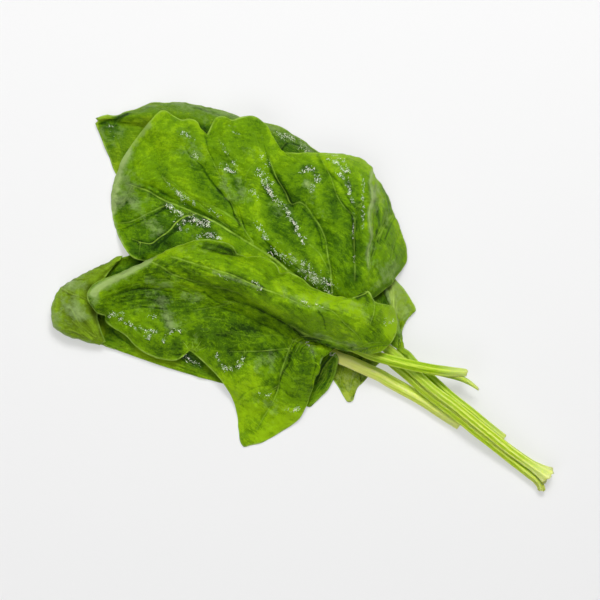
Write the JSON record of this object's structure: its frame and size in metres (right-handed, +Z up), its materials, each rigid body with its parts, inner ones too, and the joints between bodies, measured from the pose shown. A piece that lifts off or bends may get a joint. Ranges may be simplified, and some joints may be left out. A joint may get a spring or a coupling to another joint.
{
  "type": "spinach leaves",
  "caption": "Loose heap of picked spinach: broad, wavy, waxy leaves on long ridged stalks, laid over one another on a flat surface.",
  "frame": {"origin": "middle of the heap's bounding box, on the surface that the heap lies on", "axes": "+X along the heap towards the cut ends of the stalks, +Y across it, +Z up from the surface"},
  "size_m": [0.2328, 0.1258, 0.0343],
  "materials": {
    "under_blade": "satin",
    "rolled_blade": "satin",
    "back_blade": "satin",
    "broad_blade": "satin",
    "front_blade": "satin",
    "under_stem": "satin",
    "rolled_stem": "satin",
    "back_stem": "satin",
    "broad_stem": "satin",
    "front_stem": "satin"
  },
  "bodies": {
    "root": {"under_blade": "under_blade", "under_stem": "under_stem", "rolled_blade": "rolled_blade", "rolled_stem": "rolled_stem", "back_blade": "back_blade", "back_stem": "back_stem", "broad_blade": "broad_blade", "broad_stem": "broad_stem", "front_blade": "front_blade", "front_stem": "front_stem"}
  },
  "joints": []
}
